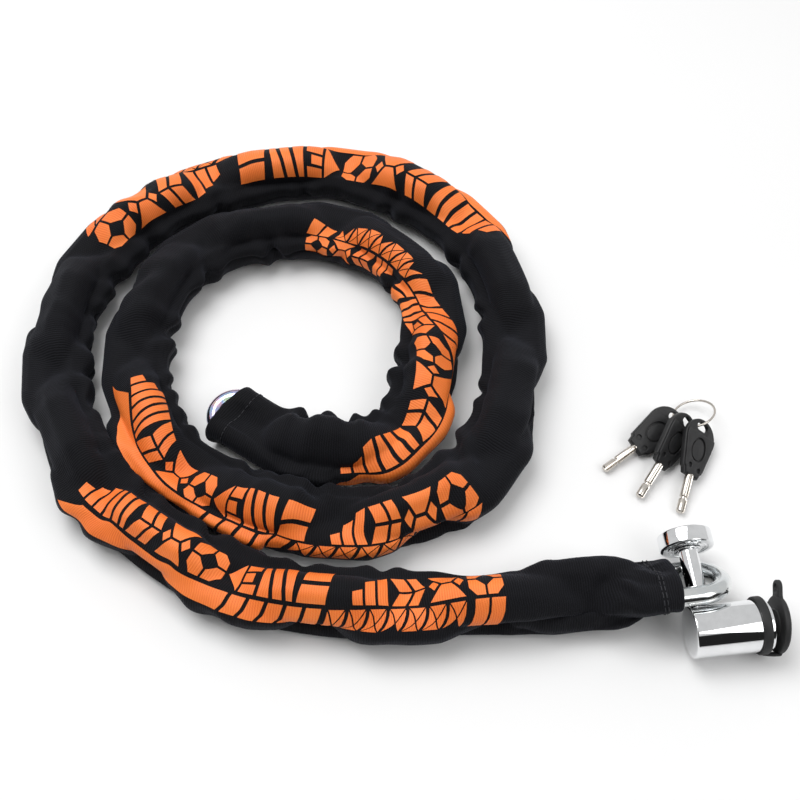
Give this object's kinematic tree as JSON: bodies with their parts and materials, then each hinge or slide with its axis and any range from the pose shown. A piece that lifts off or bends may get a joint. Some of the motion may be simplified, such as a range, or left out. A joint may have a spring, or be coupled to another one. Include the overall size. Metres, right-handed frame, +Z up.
{
  "type": "chain lock",
  "caption": "Long hardened chain in a loose fabric sleeve, coiled flat, with a barrel lock on a round pin through its end link and a ring of tubular keys.",
  "frame": {"origin": "middle of the coiled lock's footprint, on the surface it lies on", "axes": "+X towards the lock end, along the longest side; +Y away from the user; +Z up"},
  "size_m": [0.4282, 0.3577, 0.0408],
  "materials": {
    "fabric": "ribbed woven polyester with a printed pattern",
    "zinc": "iridescent zinc plating",
    "chrome": "polished",
    "brass": "turned",
    "steel": "ground",
    "nickel": "nickel plated",
    "rubber": "matt moulded",
    "plastic": "fine matt moulded"
  },
  "bodies": {
    "chain": {"sleeve": "fabric", "link_01": "zinc", "link_02": "zinc", "link_03": "zinc", "link_04": "zinc", "link_05": "zinc", "link_06": "zinc", "link_07": "zinc", "link_08": "zinc", "link_09": "zinc", "link_10": "zinc", "link_11": "zinc", "link_12": "zinc", "link_13": "zinc", "link_14": "zinc", "link_15": "zinc", "link_16": "zinc", "link_17": "zinc", "link_18": "zinc", "link_19": "zinc", "link_20": "zinc", "link_21": "zinc", "link_22": "zinc", "link_23": "zinc", "link_24": "zinc", "link_25": "zinc", "link_26": "zinc", "link_27": "zinc", "link_28": "zinc", "link_29": "zinc", "link_30": "zinc", "link_31": "zinc", "link_32": "zinc", "link_33": "zinc", "link_34": "zinc", "link_35": "zinc", "link_36": "zinc", "link_37": "zinc"},
    "free_end_link": {"link_38": "zinc"},
    "pin": {"pin_shaft": "chrome", "pin_head": "chrome"},
    "barrel": {"barrel": "chrome", "keyhole_plate": "nickel", "dust_band": "rubber", "bolt_spring": "steel"},
    "core": {"lock_core": "brass"},
    "sidebar": {"sidebar": "steel"},
    "disc_1": {"detainer_disc_1": "brass"},
    "disc_2": {"detainer_disc_2": "brass"},
    "disc_3": {"detainer_disc_3": "brass"},
    "bolt": {"locking_bolt": "steel"},
    "cap": {"dust_cap": "rubber"},
    "ring": {"key_ring": "nickel"},
    "key_1": {"key_bow_1": "plastic", "key_blade_1": "nickel"},
    "key_2": {"key_bow_2": "plastic", "key_blade_2": "nickel"},
    "key_3": {"key_bow_3": "plastic", "key_blade_3": "nickel"}
  },
  "joints": [
    {"name": "free_link_slack", "type": "slide", "parent": "chain", "child": "free_end_link", "axis": [-0.8277, 0.5612, 0], "range_m": [0, 0.001]},
    {"name": "pin_turn", "type": "hinge", "parent": "chain", "child": "pin", "pos_m": [0.17075, -0.13717, 0.0189], "axis": [0.1041, -0.9907, -0.0872], "range_deg": [0, 25]},
    {"name": "barrel_pull", "type": "slide", "parent": "pin", "child": "barrel", "axis": [0.1041, -0.9907, -0.0872], "range_m": [0, 0.022]},
    {"name": "key_turn", "type": "hinge", "parent": "barrel", "child": "core", "pos_m": [0.17367, -0.16491, 0.01646], "axis": [0.9945, 0.1045, 0], "range_deg": [0, 90]},
    {"name": "bolt_throw", "type": "slide", "parent": "barrel", "child": "bolt", "axis": [-0.9945, -0.1045, 0], "range_m": [0, 0.0025]},
    {"name": "sidebar_drop", "type": "slide", "parent": "core", "child": "sidebar", "axis": [-0.0091, 0.0867, -0.9962], "range_m": [0, 0.0003]},
    {"name": "disc_1_turn", "type": "hinge", "parent": "core", "child": "disc_1", "pos_m": [0.17367, -0.16491, 0.01646], "axis": [0.9945, 0.1045, 0], "range_deg": [-40, 0]},
    {"name": "disc_2_turn", "type": "hinge", "parent": "core", "child": "disc_2", "pos_m": [0.17367, -0.16491, 0.01646], "axis": [0.9945, 0.1045, 0], "range_deg": [-40, 0]},
    {"name": "disc_3_turn", "type": "hinge", "parent": "core", "child": "disc_3", "pos_m": [0.17367, -0.16491, 0.01646], "axis": [0.9945, 0.1045, 0], "range_deg": [-40, 0]},
    {"name": "cap_open", "type": "hinge", "parent": "barrel", "child": "cap", "pos_m": [0.20801, -0.17497, 0.00923], "axis": [-0.0491, 0.4669, -0.8829], "range_deg": [-4, 90]},
    {"name": "ring_lift", "type": "slide", "parent": "chain", "child": "ring", "axis": [0, 0, 1], "range_m": [0, 0.06]},
    {"name": "key_1_swing", "type": "hinge", "parent": "ring", "child": "key_1", "pos_m": [0.17663, -0.03248, 0.00734], "axis": [-0.1751, 0.8902, -0.4206], "range_deg": [0, 45]},
    {"name": "key_2_swing", "type": "hinge", "parent": "ring", "child": "key_2", "pos_m": [0.1814, -0.03904, 0.01166], "axis": [-0.7848, 0.4283, -0.448], "range_deg": [0, 18]},
    {"name": "key_3_swing", "type": "hinge", "parent": "ring", "child": "key_3", "pos_m": [0.18797, -0.04018, 0.01443], "axis": [-0.9509, -0.1256, -0.2827], "range_deg": [0, 15]}
  ],
  "couplings": [
    {"joint": "bolt_throw", "follows": "key_turn", "m_per_rad": 0.0015915},
    {"joint": "disc_2_turn", "follows": "disc_1_turn", "ratio": 0.75},
    {"joint": "disc_3_turn", "follows": "disc_1_turn", "ratio": 0.5}
  ]
}
